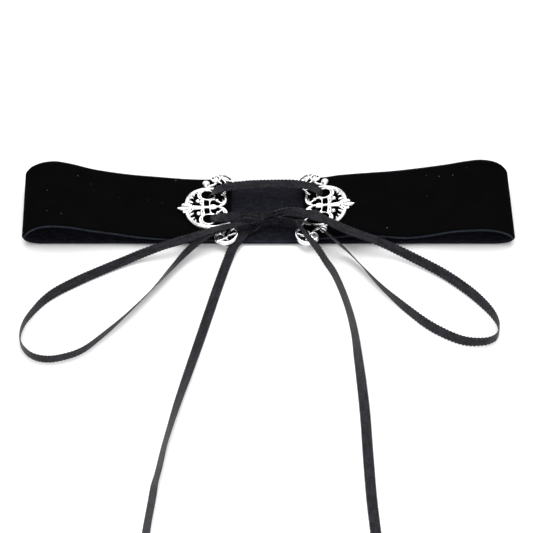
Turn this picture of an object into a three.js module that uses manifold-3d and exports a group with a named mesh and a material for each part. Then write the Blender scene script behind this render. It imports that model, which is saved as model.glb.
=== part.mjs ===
// Lace-up velvet choker, flattened as it lies on a table.
// Millimetres. X runs along the band, Y across it towards its far edge, and Z up.
import * as THREE from "three";
import { mergeVertices } from "three/addons/utils/BufferGeometryUtils.js";
import Module from "manifold-3d";

const wasm = await Module();
wasm.setup();

// Velvet band
const bandWidth = 30;
const bandThickness = 1;
const halfLength = 81.6;
const foldHeight = 10;
const laceGap = 24.5;
const bandColumns = 4;
const stepsPerRow = 3;

// Ornaments: the span is the length across the band, from roundel to roundel
const ornamentSpan = 34;
const metalThickness = 1;
const ornamentBendRadius = 160;
const ornamentClearance = 1.25;
const ornamentInset = 0.7;
const eyeletHoleRadius = 2;
const eyeletSpacing = 11.6;
const ornamentPlaces = {
  left: { side: -1, distance: 20.4, turn: 4 },
  right: { side: 1, distance: 19.4, turn: -1.5 },
};

// Ribbon of the lace and the bow
const ribbonWidth = 3.2;
const ribbonThickness = 0.4;
const ribbonSteps = 2;
const knotSize = { length: 6.2, width: 5, height: 3.4 };
const knotPlace = { x: -0.6, y: -6.3, z: 4.4 };

// Each half of the band's front layer, from its cut end to the nose of the fold and under to the back layer.
// reach is a share of the half length, and near and far are the mid-surface's heights at the band's two edges
// as shares of the fold's height. The first row sits at the cut end.
const frontLayer = {
  left: {
    skew: 0.006,
    rows: [
      { reach: 0.15, near: 0.22, far: 0.18 },
      { reach: 0.29, near: 0.23, far: 0.18 },
      { reach: 0.42, near: 0.27, far: 0.22 },
      { reach: 0.52, near: 0.36, far: 0.29 },
      { reach: 0.62, near: 0.52, far: 0.41 },
      { reach: 0.725, near: 0.68, far: 0.6 },
      { reach: 0.815, near: 0.84, far: 0.85 },
      { reach: 0.89, near: 0.88, far: 0.98 },
      { reach: 0.945, near: 0.78, far: 0.94 },
      { reach: 0.985, near: 0.55, far: 0.74 },
      { reach: 1.0, near: 0.33, far: 0.46 },
      { reach: 0.985, near: 0.14, far: 0.2 },
      { reach: 0.94, near: 0.05, far: 0.05 },
    ],
  },
  right: {
    skew: -0.003,
    rows: [
      { reach: 0.15, near: 0.27, far: 0.21 },
      { reach: 0.24, near: 0.33, far: 0.28 },
      { reach: 0.3, near: 0.4, far: 0.38 },
      { reach: 0.37, near: 0.49, far: 0.43 },
      { reach: 0.43, near: 0.45, far: 0.45 },
      { reach: 0.5, near: 0.38, far: 0.485 },
      { reach: 0.57, near: 0.34, far: 0.56 },
      { reach: 0.645, near: 0.43, far: 0.66 },
      { reach: 0.75, near: 0.63, far: 0.82 },
      { reach: 0.83, near: 0.69, far: 0.97 },
      { reach: 0.9, near: 0.69, far: 1.05 },
      { reach: 0.95, near: 0.6, far: 1.01 },
      { reach: 0.985, near: 0.45, far: 0.82 },
      { reach: 1.0, near: 0.28, far: 0.52 },
      { reach: 0.985, near: 0.13, far: 0.22 },
      { reach: 0.94, near: 0.05, far: 0.05 },
    ],
  },
};

// Strokes of one half of an ornament, from its axis to one roundel, in percent of the span. Each row is
// [u, v, half width]: u points away from the lace gap and v across the band.
const ornamentStrokes = [
  // Rim of the D
  [[21.5, 3.5, 2.2], [18.8, 12, 2.7], [15.6, 19.5, 2.8], [9.5, 24.8, 2.8], [2.2, 26.4, 2.4], [-5.5, 25.9, 1.9],
    [-12.8, 29, 1.6]],
  // Acanthus cusps on the rim's inner side
  [[18, 13, 1.6], [14.6, 13.4, 1.1], [12.4, 11.6, 0.3]],
  [[14.4, 19.6, 1.6], [11.6, 18, 1], [10.6, 15.4, 0.3]],
  // Side lobe of the palmette
  [[14, 2, 1], [19, 3.6, 2.3], [24.6, 6.4, 0.5]],
  // Leaf beside the axis
  [[1.5, 2, 1], [7, 3.6, 1], [12, 3.2, 1.1], [17.5, 3.4, 1.6]],
  // Stem of the ball leaf
  [[3.2, 9.8, 1.3], [6, 10, 1.2], [8.4, 11.4, 1.2]],
  // Sides of the slot between the axis and the eyelet
  [[2.9, 0.8, 1.2], [2.7, 5.5, 1.1], [3.2, 10.5, 1.5]],
  [[-2.9, 0.8, 1.2], [-2.9, 5.5, 1.1], [-3.4, 10.5, 1.4]],
  // Scroll on the gap side
  [[-8, 1.6, 1.3], [-13.2, 3.6, 1.5], [-17.3, 9.6, 1.6], [-17.6, 16.6, 1.4], [-19.4, 22.6, 0.6]],
  // Spike on the gap side
  [[-11, 0.8, 1.4], [-15, 2.6, 1.2], [-19.2, 5.2, 0.4]],
  // Leaf curls inside the gap side's scroll
  [[-3.6, 10, 1.2], [-7.6, 11.4, 1.2], [-11.4, 11.8, 1], [-14.2, 9.2, 1.2], [-16.8, 8.6, 1]],
  [[-7.5, 11, 1], [-8.6, 14.2, 0.9], [-11.4, 15.2, 0.5]],
  // Trefoil and curl inside the roundel
  [[-16.2, 38.8, 0.9], [-16.2, 43, 1.7], [-16.2, 48.6, 0.8]],
  [[-16.2, 38.8, 0.9], [-12.6, 37.6, 1.5], [-7, 35.8, 0.8]],
  [[-16.2, 38.8, 0.9], [-18.6, 35.4, 1.4], [-21.6, 30.6, 0.8]],
  [[-24.6, 34, 1.3], [-22.6, 38.6, 1.1], [-20.4, 40.4, 0.6]],
];

// Domes on the strokes: centre and radius in percent of the span
const ornamentDomes = [
  { u: 9, v: 11.8, radius: 2.5 },
  { u: 1.2, v: 31.4, radius: 3.7 },
  { u: -16.2, v: 38.6, radius: 2 },
];

// Strokes on the ornament's axis, in percent of the span
const axisStrokes = [
  [[29, 0, 0.4], [24.8, 0, 3], [20, 0, 3.4], [15, 0, 1.6], [8, 0, 1.2], [3, 0, 1.7], [-3, 0, 1.7], [-9, 0, 1.5],
    [-13.5, 0, 0.8]],
];

const roundel = { u: -16.2, v: 38.8, outerRadius: 11.8, thin: 1.2, thick: 3.4 };
const eyeletRing = { u: -1.3, thin: 1.5, thick: 4.2 };

// Routes of the ribbon: [x, y, z, roll]. The roll turns the ribbon's left-hand edge up, seen along the route.
const loopLeftRoute = [
  [-4.3, -8.2, 4.6, -5], [-8.2, -9.2, 4.9, -8], [-13.1, -11.5, 6, -8], [-18.4, -13.6, 5.8, -10],
  [-24, -15.7, 4.9, -10], [-29, -17.2, 4.2, -10], [-33.9, -19, 3.9, -8], [-38.2, -20.1, 2.9, -15],
  [-42.1, -21.3, 2, -18], [-46.1, -23.1, 1.4, -20], [-53.8, -27.4, 1.1, -24], [-61.3, -32.3, 1.2, -32],
  [-68.8, -38.1, 1.6, -48], [-72.4, -41.9, 1.8, -60], [-75.8, -47.2, 2, -75], [-78, -51.8, 2, -86],
  [-78.9, -56.6, 2, -90], [-78.4, -60.9, 2, -90], [-76.6, -64.1, 2, -90], [-74, -66.4, 2, -90],
  [-70.5, -67.5, 2, -90], [-66.7, -67.3, 2, -88], [-59.3, -64.3, 2, -80], [-52.1, -56.9, 1.9, -74],
  [-44.9, -47.7, 1.9, -72], [-37.6, -37, 1.9, -72], [-30.1, -25.3, 2.2, -65], [-26.3, -20.4, 2.9, -50],
  [-23, -17.7, 4.2, -30], [-19.1, -15.2, 5.3, -15], [-13.8, -12.1, 5.3, -6], [-8.5, -9.5, 4.3, -6],
  [-4.3, -8.2, 3.8, -5],
];

const loopRightRoute = [
  [3.3, -6, 5.9, 5], [7.5, -5.6, 6.8, 8], [12.5, -7.2, 7.5, 8], [16.8, -9.6, 7.9, 8],
  [20.7, -11.7, 7.6, 8], [25.7, -14.4, 7, 8], [30.6, -16.7, 6.6, 8], [34.5, -18.1, 6, 12],
  [38.5, -18.9, 4.6, 20], [42.5, -20.1, 3.2, 28], [50.3, -24.4, 2, 34], [57.9, -29.9, 1.6, 38],
  [65.2, -37.2, 1.6, 44], [68.8, -41.9, 1.8, 52], [72.3, -47.4, 2, 68], [73.9, -51.8, 2, 82],
  [73.9, -55.3, 2, 90], [72.8, -58.1, 2, 92], [70.4, -59.7, 2, 95], [67.5, -60.2, 2, 100],
  [63.7, -60, 2, 108], [60, -58.6, 1.9, 114], [52.6, -53.6, 1.8, 122], [45.3, -46.1, 1.8, 114],
  [37.9, -37, 1.9, 92], [34.2, -31.6, 1.9, 72], [30.4, -25.7, 1.7, 50], [26.9, -21.4, 2.4, 42],
  [23.3, -19, 4.8, 36], [19.7, -16, 6, 24], [16.4, -12.7, 6.3, 10], [12.5, -9.7, 5.8, 6],
  [7.5, -7, 3.9, 5], [3.3, -6.2, 3.2, 5],
];

const tailLeftRoute = [
  [-3.4, -8.6, 2.8, 0], [-5.2, -9.6, 2, 0], [-7.2, -10.8, 1.8, 0], [-9.5, -14.3, 1.7, 0],
  [-11.3, -17.4, 1.6, 0], [-13.1, -22.6, 0.7, 0], [-16.3, -35.2, 0.5, 0], [-19.2, -47.7, 0.4, 0],
  [-22, -59.9, 0.5, 8], [-24.8, -72, 0.8, 20], [-27.6, -84.1, 1.2, 38], [-30, -95.7, 1.6, 52],
  [-31.4, -102.9, 1.7, 58], [-32.8, -112.2, 1.6, 52], [-33.8, -117.4, 1.5, 48], [-34.3, -122.6, 1.3, 42],
  [-35.4, -132.7, 1.2, 38], [-35.9, -138.9, 1.2, 34],
];

const tailRightRoute = [
  [3.2, -7.6, 4.1, 0], [5.4, -8.5, 4.5, 4], [8.2, -9.9, 5.3, 10], [11.5, -12.4, 6.7, 14],
  [14.3, -15.6, 6.6, 18], [16.6, -18.2, 5.2, 28], [18, -20.2, 3, 44], [19.5, -23.6, 1.7, 54],
  [22, -29.9, 1.6, 54], [25.6, -42.6, 1.6, 52], [27.7, -54.7, 1.4, 44], [28.7, -66.5, 1.2, 32],
  [29.5, -77.9, 0.9, 20], [30.1, -89.2, 0.6, 12], [30.5, -105.8, 0.5, 6], [31, -121.9, 0.4, 4],
  [31.6, -132.3, 0.4, 0], [32, -138.5, 0.4, 0],
];

// Route of the held stretch: [x, y, z, heading of the ribbon's width in plan, roll]
const laceRoute = [
  [-4.3, -6.9, 5.6, 90, 8], [-8, -7, 6.3, 90, 10], [-12, -7.2, 6.5, 92, 10], [-15.5, -7, 6, 92, 8],
  [-17.8, -6.6, 5.4, 90, 2], [-19.4, -6.4, 4.6, 75, 0], [-19.8, -6.2, 3.8, 30, 0], [-19.8, -5.2, 3.2, 0, 0],
  [-19.9, -3, 3.15, 0, 0], [-20.1, 0, 3.15, 0, 0], [-20.2, 2.4, 3.1, 0, 0], [-20.3, 4.2, 3.15, 20, 0],
  [-20.2, 4.9, 3.8, 60, 0], [-19.7, 5.1, 4.7, 88, 0], [-17.6, 5.4, 5.4, 92, 2], [-15, 6.1, 5.6, 96, 8],
  [-11.5, 6.9, 5.6, 96, 12], [-6, 7.6, 5.9, 92, 15], [1, 7.7, 6.1, 90, 15], [8, 7.5, 6.4, 88, 15],
  [12, 6.8, 6.6, 84, 12], [15.4, 5.8, 6.5, 82, 8], [17.4, 5.4, 6.2, 86, 4], [18.8, 5.2, 5.5, 75, 0],
  [19.3, 4.9, 4.7, 35, 0], [19.1, 3.8, 4.1, 0, 5], [19, 2, 4.05, 0, 6], [19, 0, 4.1, 0, 6],
  [18.9, -3, 4.15, 0, 6], [18.7, -5.3, 4.2, 5, 4], [18.6, -6.3, 4.9, 60, 0], [18.2, -6.5, 5.8, 88, 0],
  [16.4, -6.6, 6.4, 90, 4], [13, -6.7, 6.5, 90, 6], [8, -6.3, 6.1, 90, 4], [3.3, -6.1, 5.1, 90, 4],
];

const velvet = new THREE.MeshStandardMaterial({ name: "velvet", color: 0x0b0b0d, roughness: 0.95, metalness: 0 });
const silver = new THREE.MeshStandardMaterial({ name: "silver", color: 0xd4d6d9, roughness: 0.2, metalness: 1 });
const satin = new THREE.MeshStandardMaterial({ name: "satin", color: 0x1c1c20, roughness: 0.5, metalness: 0 });

// General shape helpers

// A closed body through rings of points. Each ring runs along one side and back along the other.
function loft(rings) {
  const count = rings[0].length;
  const points = rings.flat();
  const faces = [];
  for (let ring = 0; ring < rings.length - 1; ring += 1) {
    for (let i = 0; i < count; i += 1) {
      const a = ring * count + i;
      const b = ring * count + ((i + 1) % count);
      faces.push(a, b, b + count, a, b + count, a + count);
    }
  }
  const last = (rings.length - 1) * count;
  for (let i = 0; i < count / 2 - 1; i += 1) {
    const j = count - 1 - i;
    faces.push(i, j, j - 1, i, j - 1, i + 1);
    faces.push(last + i, last + i + 1, last + j - 1, last + i, last + j - 1, last + j);
  }
  return facingOut(new THREE.BufferGeometry().setFromPoints(points).setIndex(faces));
}

function signedVolume(geometry) {
  const place = geometry.getAttribute("position");
  const index = geometry.getIndex().array;
  const [a, b, c] = [new THREE.Vector3(), new THREE.Vector3(), new THREE.Vector3()];
  let volume = 0;
  for (let i = 0; i < index.length; i += 3) {
    a.fromBufferAttribute(place, index[i]);
    b.fromBufferAttribute(place, index[i + 1]);
    c.fromBufferAttribute(place, index[i + 2]);
    volume += a.dot(b.cross(c)) / 6;
  }
  return volume;
}

function facingOut(geometry) {
  if (signedVolume(geometry) < 0) {
    geometry.getIndex().array.reverse();
  }
  return geometry;
}

// Points and extra columns of a table, along one smooth curve
function alongCurve(rows, stepsPerSpan) {
  const samples = (rows.length - 1) * stepsPerSpan;
  const path = new THREE.CatmullRomCurve3(rows.map((row) => new THREE.Vector3(row[0], row[1], row[2])));
  path.curveType = "centripetal";
  const extra = new THREE.CatmullRomCurve3(rows.map((row) => new THREE.Vector3(row[3] ?? 0, row[4] ?? 0, 0)));
  extra.curveType = "catmullrom";
  extra.tension = 0.3;
  return Array.from({ length: samples + 1 }, (_, i) => ({
    point: path.getPoint(i / samples),
    tangent: path.getTangent(i / samples),
    extra: extra.getPoint(i / samples),
  }));
}

function toManifold(geometry) {
  const bare = new THREE.BufferGeometry();
  bare.setAttribute("position", geometry.getAttribute("position").clone());
  bare.setIndex(geometry.getIndex());
  const merged = mergeVertices(bare, 1e-5);
  return new wasm.Manifold(new wasm.Mesh({
    numProp: 3,
    vertProperties: new Float32Array(merged.getAttribute("position").array),
    triVerts: new Uint32Array(merged.getIndex().array),
  }));
}

function fromManifold(solid) {
  const mesh = solid.getMesh();
  const geometry = new THREE.BufferGeometry();
  geometry.setAttribute("position", new THREE.BufferAttribute(mesh.vertProperties, 3));
  geometry.setIndex(new THREE.BufferAttribute(mesh.triVerts, 1));
  return geometry;
}

// Velvet band

// Mid-surface points of one half, at share across of the half width, from the cut end to the back layer
function halfBand(side, across) {
  const { skew, rows } = frontLayer[side];
  const direction = side === "left" ? -1 : 1;
  const stretch = halfLength * (1 + skew * across);
  const points = rows.map((row, i) => {
    const reach = i === 0 ? laceGap / 2 : row.reach * stretch;
    const height = THREE.MathUtils.mapLinear(across, -1, 1, row.near, row.far) * foldHeight;
    return [direction * reach, 0, height];
  });
  return alongCurve(points, stepsPerRow).map(({ point }) => {
    point.z = Math.max(point.z, bandThickness / 2);
    return point;
  });
}

// One line along the whole band, round both folds
function bandLine(across) {
  const left = halfBand("left", across);
  const right = halfBand("right", across).reverse();
  const back = [-0.5, 0, 0.5].map((share) => new THREE.Vector3(share * halfLength, 0, bandThickness / 2));
  left.at(-1).z = bandThickness / 2;
  right[0].z = bandThickness / 2;
  return [...left, ...back, ...right];
}

function bandRings() {
  const shares = Array.from({ length: bandColumns + 1 }, (_, i) => (2 * i) / bandColumns - 1);
  const lines = shares.map(bandLine);
  return lines[0].map((_, station) => {
    const outer = [];
    const inner = [];
    lines.forEach((line, i) => {
      const before = line[Math.max(station - 1, 0)];
      const after = line[Math.min(station + 1, line.length - 1)];
      const along = after.clone().sub(before).normalize();
      const normal = new THREE.Vector3(along.z, 0, -along.x).multiplyScalar(bandThickness / 2);
      const middle = line[station].clone().setY((shares[i] * bandWidth) / 2);
      outer.push(middle.clone().add(normal));
      inner.push(middle.clone().sub(normal));
    });
    return [...outer, ...inner.reverse()];
  });
}

// Ornaments

const percent = ornamentSpan / 100;

// A flat bar that follows a curve, with a narrower top, as cast relief has
function stroke(rows, height) {
  const sized = rows.map((row) => row.map((value) => value * percent));
  const stations = alongCurve(sized, 2);
  const rings = stations.map(({ point, tangent }) => {
    const across = new THREE.Vector3(-tangent.y, tangent.x, 0).normalize();
    const base = Math.max(point.z, 0.08);
    const corner = (share, z) => new THREE.Vector3(point.x, point.y, z).addScaledVector(across, share * base);
    return [corner(-1, 0), corner(1, 0), corner(0.6, height), corner(-0.6, height)];
  });
  return toManifold(loft(rings));
}

// A ring whose wall goes from thin to thick towards one side
function crescentRing(centre, holeRadius, walls, thickSide, height, steps) {
  const rings = Array.from({ length: steps }, (_, i) => {
    const angle = (2 * Math.PI * i) / steps;
    const share = (1 + Math.cos(angle - thickSide)) / 2;
    const wall = walls.thin + (walls.thick - walls.thin) * share;
    const corner = (radius, z) => new THREE.Vector3(
      centre.u + radius * Math.cos(angle),
      centre.v + radius * Math.sin(angle),
      z,
    );
    return [
      corner(holeRadius, 0),
      corner(holeRadius + wall, 0),
      corner(holeRadius + 0.8 * wall, height),
      corner(holeRadius, height),
    ];
  });
  return toManifold(closedLoft(rings));
}

// A loft whose last ring joins its first
function closedLoft(rings) {
  const count = rings[0].length;
  const faces = [];
  rings.forEach((_, ring) => {
    const next = (ring + 1) % rings.length;
    for (let i = 0; i < count; i += 1) {
      const j = (i + 1) % count;
      faces.push(ring * count + i, ring * count + j, next * count + j);
      faces.push(ring * count + i, next * count + j, next * count + i);
    }
  });
  return facingOut(new THREE.BufferGeometry().setFromPoints(rings.flat()).setIndex(faces));
}

function dome({ u, v, radius }, height) {
  const size = radius * percent;
  const profile = [[0, 0], [size, 0], [0.9 * size, 0.6 * height], [0.5 * size, height], [0, 1.1 * height]];
  const geometry = new THREE.LatheGeometry(profile.map(([r, z]) => new THREE.Vector2(r, z)), 8);
  geometry.rotateX(Math.PI / 2);
  geometry.translate(u * percent, v * percent, 0);
  return toManifold(geometry);
}

function halfOrnament() {
  const eyeletCentre = { u: eyeletRing.u * percent, v: eyeletSpacing / 2 };
  const eyeletWalls = { thin: eyeletRing.thin * percent, thick: eyeletRing.thick * percent };
  const roundelCentre = { u: roundel.u * percent, v: roundel.v * percent };
  const roundelWalls = { thin: roundel.thin * percent, thick: roundel.thick * percent };
  const roundelHole = (roundel.outerRadius - roundel.thick) * percent;
  return [
    ...ornamentStrokes.map((rows) => stroke(rows, metalThickness)),
    ...ornamentDomes.map((place) => dome(place, 1.2 * metalThickness)),
    crescentRing(eyeletCentre, eyeletHoleRadius, eyeletWalls, 0, metalThickness, 16),
    crescentRing(roundelCentre, roundelHole, roundelWalls, Math.PI / 2, metalThickness, 16),
  ];
}

function flatOrnament() {
  const half = wasm.Manifold.union(halfOrnament());
  const axis = axisStrokes.map((rows) => stroke(rows, 1.1 * metalThickness));
  return wasm.Manifold.union([half, half.mirror([0, 1, 0]), ...axis]);
}

// The flat casting bent round the band, convex towards the front
function bentOrnament(side) {
  const solid = side < 0 ? flatOrnament().mirror([1, 0, 0]) : flatOrnament();
  return fromManifold(solid.warp((place) => {
    const radius = ornamentBendRadius + place[2];
    const angle = place[1] / ornamentBendRadius;
    place[1] = radius * Math.sin(angle);
    place[2] = radius * Math.cos(angle) - ornamentBendRadius;
  }));
}

// Height of the velvet's outer face at a distance from the middle, at share across of the half width
function velvetTop(side, distance, across) {
  const line = halfBand(side, across);
  const next = line.findIndex((point) => Math.abs(point.x) >= distance);
  const [a, b] = [line[next - 1], line[next]];
  return THREE.MathUtils.mapLinear(distance, Math.abs(a.x), Math.abs(b.x), a.z, b.z) + bandThickness / 2;
}

function placeOrnament(mesh, name) {
  const { side, distance, turn } = ornamentPlaces[name];
  const reach = 0.25 * ornamentSpan;
  const middle = (place) => (velvetTop(name, place, -1) + velvetTop(name, place, 1)) / 2;
  const inner = Math.max(distance - reach, laceGap / 2 + bandThickness);
  const slope = (middle(distance + reach) - middle(inner)) / (distance + reach - inner);
  const cross = (velvetTop(name, distance, 1) - velvetTop(name, distance, -1)) / bandWidth;
  mesh.position.set(side * distance, -ornamentInset, middle(distance) + ornamentClearance);
  mesh.rotation.set(Math.atan(cross), -side * Math.atan(slope), THREE.MathUtils.degToRad(turn), "XYZ");
}

// Ribbon

// A flat strip along a route. widthHeading gives the direction of its width in plan.
function ribbon(route, widthHeading) {
  const rings = alongCurve(route, ribbonSteps).map(({ point, tangent, extra }) => {
    const { heading, roll } = widthHeading(tangent, extra);
    const width = new THREE.Vector3(
      Math.cos(heading) * Math.cos(roll),
      Math.sin(heading) * Math.cos(roll),
      Math.sin(roll),
    );
    width.addScaledVector(tangent, -width.dot(tangent)).normalize();
    const normal = new THREE.Vector3().crossVectors(tangent, width);
    const corner = (a, b) => point.clone()
      .addScaledVector(width, (a * ribbonWidth) / 2)
      .addScaledVector(normal, (b * ribbonThickness) / 2);
    return [corner(-1, -1), corner(1, -1), corner(1, 1), corner(-1, 1)];
  });
  return loft(rings);
}

// Free ribbon: its width lies square to its route in plan
function freeRibbon(route) {
  return ribbon(route, (tangent, extra) => ({
    heading: Math.atan2(tangent.y, tangent.x) + Math.PI / 2,
    roll: THREE.MathUtils.degToRad(extra.x),
  }));
}

function heldRibbon(route) {
  return ribbon(route, (tangent, extra) => ({
    heading: THREE.MathUtils.degToRad(extra.x),
    roll: THREE.MathUtils.degToRad(extra.y),
  }));
}

function knotGeometry() {
  const geometry = new THREE.SphereGeometry(0.5, 12, 8);
  geometry.rotateX(Math.PI / 2);
  geometry.scale(knotSize.length, knotSize.width, knotSize.height);
  return geometry;
}

// Assembly

function part(name, geometry, material) {
  const mesh = new THREE.Mesh(geometry, material);
  mesh.name = name;
  choker.add(mesh);
  return mesh;
}

const choker = new THREE.Group();
part("velvet_band", loft(bandRings()), velvet);
for (const name of Object.keys(ornamentPlaces)) {
  placeOrnament(part(`ornament_${name}`, bentOrnament(ornamentPlaces[name].side), silver), name);
}
part("lace", heldRibbon(laceRoute), satin);
part("bow_knot", knotGeometry(), satin).position.set(knotPlace.x, knotPlace.y, knotPlace.z);
part("bow_loop_left", freeRibbon(loopLeftRoute), satin);
part("bow_loop_right", freeRibbon(loopRightRoute), satin);
part("tail_left", freeRibbon(tailLeftRoute), satin);
part("tail_right", freeRibbon(tailRightRoute), satin);

export default choker;
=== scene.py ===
# Lace-up velvet choker with silver filigree ornaments, lying flattened on a pale table.
# Lengths in tables are millimetres or shares of the named sizes; Blender's own units are metres.
import math

import bpy
import numpy as np
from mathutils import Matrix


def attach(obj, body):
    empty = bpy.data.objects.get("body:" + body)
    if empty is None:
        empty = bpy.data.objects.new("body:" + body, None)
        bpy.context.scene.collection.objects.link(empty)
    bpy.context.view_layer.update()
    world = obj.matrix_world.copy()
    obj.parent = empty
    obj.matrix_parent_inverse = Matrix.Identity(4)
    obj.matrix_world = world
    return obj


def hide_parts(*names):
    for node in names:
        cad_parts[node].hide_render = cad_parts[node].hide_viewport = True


MM = 0.001

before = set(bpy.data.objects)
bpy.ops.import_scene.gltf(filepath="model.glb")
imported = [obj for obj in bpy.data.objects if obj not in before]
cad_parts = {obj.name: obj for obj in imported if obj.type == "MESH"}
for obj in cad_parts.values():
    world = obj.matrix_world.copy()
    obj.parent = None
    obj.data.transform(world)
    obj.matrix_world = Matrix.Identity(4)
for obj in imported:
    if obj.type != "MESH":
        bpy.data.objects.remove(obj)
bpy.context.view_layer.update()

# Camera, set by the photograph's view
CAMERA_ELEVATION = math.radians(45.6)
CAMERA_DISTANCE = 700
CAMERA_TARGET = (-0.33, -24.94, 0)
CAMERA_LENS = 143.3
CAMERA_CLIP = (0.01, 20)
SENSOR_WIDTH = 36

# Light and table. The lamps' places and sizes are in metres, tilt in degrees and power in watts.
LAMPS = {
    "overhead": {"place": (0.0, 0.42, 0.95), "tilt": -24, "size": 1.2, "power": 12.3},
    "front": {"place": (0.0, -0.33, 0.15), "tilt": 56, "size": 0.2, "power": 0.5},
}
WORLD_STRENGTH = 0.7
TABLE_REACH = 3000
TABLE_COLOR = (0.93, 0.93, 0.935, 1)
TABLE_GRAIN_SCALE = 40.0

# Velvet band
BAND_WIDTH = 30
BAND_THICKNESS = 1
BACKING_THICKNESS = 0.4
SELVEDGE_WIDTH = {"near": 0.5, "far": 0.9}
SELVEDGE_STRIPE = (0.6, 1.0)
HALF_LENGTH = 81.6
FOLD_HEIGHT = 10
LACE_GAP = 24.5
BAND_STEP = 0.6
BACK_STEPS = 240
INNER_COLUMNS = 21
PILE_COLUMNS = 31

# Edges of the band's section: heights in millimetres, insets as shares of the half width
EDGE_CHAMFER = 0.08
CORNER_INSET = 0.006
PILE_FOOT_INSET = 0.004
PILE_FOOT_HEIGHT = 0.25
PILE_SHOULDER_INSET = 0.005
PILE_SHOULDER_DROP = 0.12
PILE_TOP_INSET = 0.02

# Curl of the front layer's far edge: its height, the share of it that is left beside the ornaments, the
# shares of the half length between which it grows and fades, and the shares of the fold's height between
# which it sets in
EDGE_CURL = 0.95
CURL_BY_ORNAMENTS = 0.35
CURL_GROWS = (0.3, 0.5)
CURL_FADES = (0.86, 0.98)
CURL_SETS_IN = (0.14, 0.2)

# Ornaments
ORNAMENT_SPAN = 34
PERCENT = ORNAMENT_SPAN / 100
METAL_THICKNESS = 1
ORNAMENT_BEND_RADIUS = 150
ORNAMENT_CLEARANCE = 0.6
ORNAMENT_INSET = 0.7
SLOPE_REACH = 0.25 * ORNAMENT_SPAN
EYELET_HOLE_RADIUS = 2
EYELET_SPACING = 11.6
EYELET_RING = {"u": -1.3, "wall": 1.5}
ORNAMENT_PLACES = {
    "left": {"side": -1, "distance": 20.4, "turn": 4},
    "right": {"side": 1, "distance": 19.4, "turn": -2.5},
}
REMESH_VOXEL = 0.106
RELIEF_SPAN = 0.24
RELIEF_ROUNDS = 12
STROKE_STEP = 0.15
STROKE_LEAST_HALF_WIDTH = 0.08
STROKE_LEAST_ROUNDING = 0.02
STROKE_END_HEIGHT = 0.55
RING_STEPS = 72
BOSS_STEPS = 24

# Cast relief of a stroke: share of the half width and share of the height
STROKE_PROFILE = [
    (-1, 0), (-1, 0.18), (-0.93, 0.5), (-0.76, 0.78), (-0.5, 0.94), (-0.18, 1),
    (0.18, 1), (0.5, 0.94), (0.76, 0.78), (0.93, 0.5), (1, 0.18), (1, 0),
]

# Shares of the radius and of the height, from a boss's foot to its middle
BOSS_LEVELS = [(1, 0), (1, 0.4), (0.96, 0.58), (0.84, 0.76), (0.64, 0.9), (0.4, 0.97), (0.15, 1)]

# Ribbon
RIBBON_WIDTH = 3.2
RIBBON_THICKNESS = 0.3
RIBBON_STEP = 0.2
RIBBON_FLOOR = 0.03
RIBBON_COLUMNS = 17
RIBBON_CUP = 0.06
EDGE_THINNING = 0.5
PICOT_PITCH = 1.2
PICOT_DEPTH = 0.13
ROLL_TENSION = 0.3

# Gathers beside the knot: how far they reach, how much they narrow the ribbon, how they wander along it, and
# then a few deep pleats with finer creases over them: depth, power of fading and number across the width
GATHER_REACH = 15
GATHER_NARROWING = 0.2
GATHER_WANDER = 0.5
GATHER_WANDER_LENGTH = 2.3
PLEATS = {"depth": 0.3, "fading": 1.6, "count": 2.5}
CREASES = {"depth": 0.14, "fading": 0.5, "count": 5}

# Knot: its middle, how far the strands run past it as a share of their first step, the half depth and half
# height of its turn, the turn's slant and advance along X, and the pleated strip that makes it
KNOT_PLACE = (-0.3, -6.7, 4.5)
KNOT_OVERRUN = 0.1
KNOT_RADII = (1.55, 1.05)
KNOT_SLANT = 1.25
KNOT_ADVANCE = 0.45
KNOT_TURN = (-0.45 * math.pi, 1.9 * math.pi)
KNOT_STEPS = 140
KNOT_COLUMNS = 17
KNOT_HALF_WIDTH = 1.2
KNOT_PLEAT_DEPTH = 0.24
KNOT_PLEAT_COUNT = 3
KNOT_ROUNDING = 0.4

# Velvet pile: its darkest and lightest black, the grain of nap and hair, and rare specks of lint
PILE_COLORS = ((0.0015, 0.0015, 0.0016, 1), (0.003, 0.003, 0.0032, 1))
NAP_SCALE = 140.0
HAIR_SCALE = 5200.0
LINT_COLOR = (0.12, 0.12, 0.13, 1)
LINT_STRENGTH = 0.5
LINT_CELL_SCALE = 0.21
LINT_RADII = (0.02, 0.055)
LINT_RARITY = 0.86

# Woven fabrics: darkest and lightest threads, finish, millimetres between ribs, strength of the bump, and
# height of the uneven lumps in it
FABRICS = {
    "velvet_back": {
        "colors": ((0.0052, 0.0052, 0.0088, 1), (0.011, 0.011, 0.0176, 1)),
        "roughness": 0.65,
        "specular": 0.04,
        "rib_pitch": 0.45,
        "relief": 0.5,
        "lumps": 0.5,
    },
    "velvet_selvedge": {
        "colors": ((0.0105, 0.013, 0.02, 1), (0.0195, 0.023, 0.034, 1)),
        "roughness": 0.65,
        "specular": 0.1,
        "rib_pitch": 0.5,
        "relief": 0.8,
        "lumps": 0.5,
    },
    "ribbon_satin": {
        "colors": ((0.0008, 0.0007, 0.0015, 1), (0.0165, 0.015, 0.0235, 1)),
        "roughness": 0.36,
        "specular": 0.29,
        "rib_pitch": 0.42,
        "relief": 1.0,
        "lumps": 4.5,
    },
}

# Warp threads, as shares of the ribs' pitch and height, then the spread and stretch of the thread colours
WARP_PITCH = 0.6
WARP_RELIEF = 0.35
THREAD_SPREAD = (0.89, 1.11)
THREAD_STRETCH = (0.3, 1.2, 1.0)
GRAIN_SCALE = 0.85

# Silver: painted shade in the valleys, standing in for their occlusion, and the metal's own colour on the
# relief, with the heights where each begins
PAINTED_VALLEY_SHADE = {"height": 0.2, "color": (0.015, 0.015, 0.017, 1)}
BRIGHT = {"height": 0.46, "color": (0.86, 0.86, 0.87, 1)}
WEAR_SCALE = 900.0
WEAR_ROUGHNESS = (0.12, 0.24)

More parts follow.
